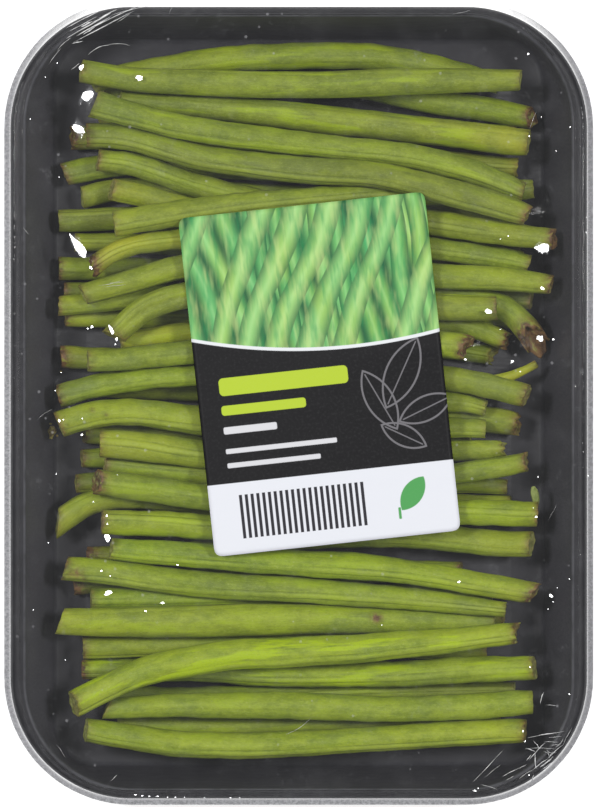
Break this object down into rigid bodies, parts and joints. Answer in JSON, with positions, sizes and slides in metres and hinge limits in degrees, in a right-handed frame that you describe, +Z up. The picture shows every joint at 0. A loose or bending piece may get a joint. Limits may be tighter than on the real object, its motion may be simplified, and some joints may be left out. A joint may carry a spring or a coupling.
{
  "type": "green bean bundle",
  "caption": "Bundle of trimmed fine green beans lying side by side in a shallow black tray, wrapped in clear stretch film with a paper label on top",
  "frame": {"origin": "middle of the underside of the wrapped tray", "axes": "+X along the beans, to the right in the picture; +Y along the tray's length, to the top of the picture; +Z up out of the tray"},
  "size_m": [0.1326, 0.181, 0.022],
  "materials": {
    "tray": "thermoformed charcoal plastic, satin gloss",
    "film": "clear stretch film",
    "label": "printed paper, satin",
    "bean_olive": "bean skin, olive green, satin",
    "bean_green": "bean skin, mid green, satin",
    "bean_bright": "bean skin, yellow green, satin"
  },
  "bodies": {
    "root": {"tray": "tray", "film": "film", "label": "label", "bean_01": "bean_olive", "bean_02": "bean_olive", "bean_03": "bean_olive", "bean_04": "bean_olive", "bean_05": "bean_olive", "bean_06": "bean_olive", "bean_07": "bean_olive", "bean_08": "bean_olive", "bean_09": "bean_olive", "bean_10": "bean_olive", "bean_11": "bean_olive", "bean_12": "bean_olive", "bean_13": "bean_olive", "bean_14": "bean_green", "bean_15": "bean_green", "bean_16": "bean_green", "bean_17": "bean_green", "bean_18": "bean_green", "bean_19": "bean_green", "bean_20": "bean_green", "bean_21": "bean_green", "bean_22": "bean_green", "bean_23": "bean_green", "bean_24": "bean_green", "bean_25": "bean_green", "bean_26": "bean_green", "bean_27": "bean_green", "bean_28": "bean_green", "bean_29": "bean_green", "bean_30": "bean_green", "bean_31": "bean_green", "bean_32": "bean_green", "bean_33": "bean_green", "bean_34": "bean_bright", "bean_35": "bean_bright", "bean_36": "bean_bright", "bean_37": "bean_bright", "bean_38": "bean_bright", "bean_39": "bean_bright", "bean_40": "bean_bright", "bean_41": "bean_bright", "bean_42": "bean_bright", "bean_43": "bean_bright", "bean_44": "bean_bright", "bean_45": "bean_bright", "bean_46": "bean_bright", "bean_47": "bean_bright", "bean_48": "bean_green", "bean_49": "bean_green", "bean_50": "bean_green"}
  },
  "joints": []
}
